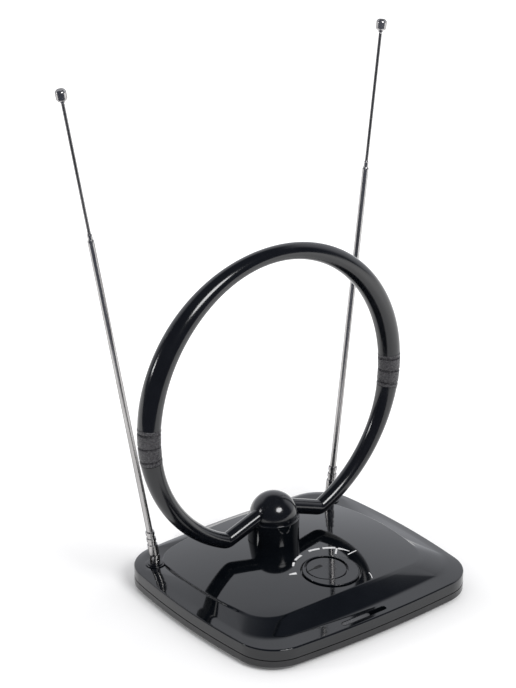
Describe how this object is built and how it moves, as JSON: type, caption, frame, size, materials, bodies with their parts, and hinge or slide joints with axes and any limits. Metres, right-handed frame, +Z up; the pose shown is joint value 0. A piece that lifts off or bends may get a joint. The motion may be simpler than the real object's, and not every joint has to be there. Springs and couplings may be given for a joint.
{
  "type": "indoor tv antenna",
  "caption": "Indoor television antenna with a crowned glossy base, a gain dial, an upright loop on a post and hinged telescopic rods.",
  "frame": {"origin": "on the table under the middle of the base", "axes": "+Z up, the dial faces -Y, +X to the right seen from the dial side"},
  "size_m": [0.2438, 0.1676, 0.3414],
  "materials": {
    "gloss_black": "high gloss moulded black",
    "satin_black": "satin moulded black",
    "foot_rubber": "soft matt",
    "screw_steel": "zinc plated",
    "board_green": "solder-masked laminate",
    "tin_plate": "tinned",
    "ferrite_grey": "sintered",
    "part_dark": "moulded",
    "socket_nickel": "nickel plated",
    "lens_grey": "smoked clear",
    "light_green": "diffused",
    "bare_aluminium": "drawn",
    "rod_chrome": "polished chrome plate"
  },
  "bodies": {
    "base": {"aerial_socket": "socket_nickel", "aerial_socket_nut": "socket_nickel", "amplifier_board": "board_green", "base_lower_tray": "gloss_black", "base_upper_cover": "gloss_black", "board_screws": "screw_steel", "dome_cap": "gloss_black", "foot_front_left": "foot_rubber", "foot_front_right": "foot_rubber", "foot_rear_left": "foot_rubber", "foot_rear_right": "foot_rubber", "gain_potentiometer": "part_dark", "indicator_lens": "lens_grey", "left_bush": "satin_black", "loop_conductor": "bare_aluminium", "loop_left_arm": "gloss_black", "loop_left_collar": "satin_black", "loop_post": "gloss_black", "loop_right_arm": "gloss_black", "loop_right_collar": "satin_black", "loop_upper_arc": "gloss_black", "matching_transformer": "ferrite_grey", "power_jack": "satin_black", "power_light": "light_green", "right_bush": "satin_black", "shell_screws": "screw_steel", "shield_can": "tin_plate", "supply_capacitor": "part_dark"},
    "gain_dial": {"gain_knob": "gloss_black", "gain_shaft": "screw_steel"},
    "left_swivel": {"left_swivel_fork": "rod_chrome", "left_hinge_pin": "rod_chrome", "left_keeper_washer": "screw_steel", "left_keeper_screw": "screw_steel"},
    "left_rod": {"left_rod_ferrule": "rod_chrome", "left_outer_tube": "rod_chrome"},
    "left_middle": {"left_middle_tube": "rod_chrome"},
    "left_inner": {"left_inner_rod": "rod_chrome", "left_tip_cap": "rod_chrome"},
    "right_swivel": {"right_swivel_fork": "rod_chrome", "right_hinge_pin": "rod_chrome", "right_keeper_washer": "screw_steel", "right_keeper_screw": "screw_steel"},
    "right_rod": {"right_rod_ferrule": "rod_chrome", "right_outer_tube": "rod_chrome"},
    "right_middle": {"right_middle_tube": "rod_chrome"},
    "right_inner": {"right_inner_rod": "rod_chrome", "right_tip_cap": "rod_chrome"}
  },
  "joints": [
    {"name": "gain_turn", "type": "hinge", "parent": "base", "child": "gain_dial", "pos_m": [0, -0.0323, 0.02594], "axis": [0, -0.054, 0.9985], "range_deg": [-150, 150]},
    {"name": "left_swivel_turn", "type": "hinge", "parent": "base", "child": "left_swivel", "pos_m": [-0.0718, 0.0558, 0.0207], "axis": [0, 0, 1], "range_deg": [-90, 30]},
    {"name": "left_tilt", "type": "hinge", "parent": "left_swivel", "child": "left_rod", "pos_m": [-0.0718, 0.0558, 0.0207], "axis": [0, -1, 0], "range_deg": [-10.3, 64.7]},
    {"name": "left_middle_slide", "type": "slide", "parent": "left_rod", "child": "left_middle", "axis": [-0.1788, 0, 0.9839], "range_m": [-0.0038, 0.175]},
    {"name": "left_inner_slide", "type": "slide", "parent": "left_middle", "child": "left_inner", "axis": [-0.1788, 0, 0.9839], "range_m": [-0.0825, 0.096]},
    {"name": "right_swivel_turn", "type": "hinge", "parent": "base", "child": "right_swivel", "pos_m": [0.0718, 0.0558, 0.0207], "axis": [0, 0, 1], "range_deg": [-30, 90]},
    {"name": "right_tilt", "type": "hinge", "parent": "right_swivel", "child": "right_rod", "pos_m": [0.0718, 0.0558, 0.0207], "axis": [0, 1, 0], "range_deg": [-6.5, 68.5]},
    {"name": "right_middle_slide", "type": "slide", "parent": "right_rod", "child": "right_middle", "axis": [0.1132, 0, 0.9936], "range_m": [-0.0038, 0.175]},
    {"name": "right_inner_slide", "type": "slide", "parent": "right_middle", "child": "right_inner", "axis": [0.1132, 0, 0.9936], "range_m": [-0.0825, 0.096]}
  ]
}
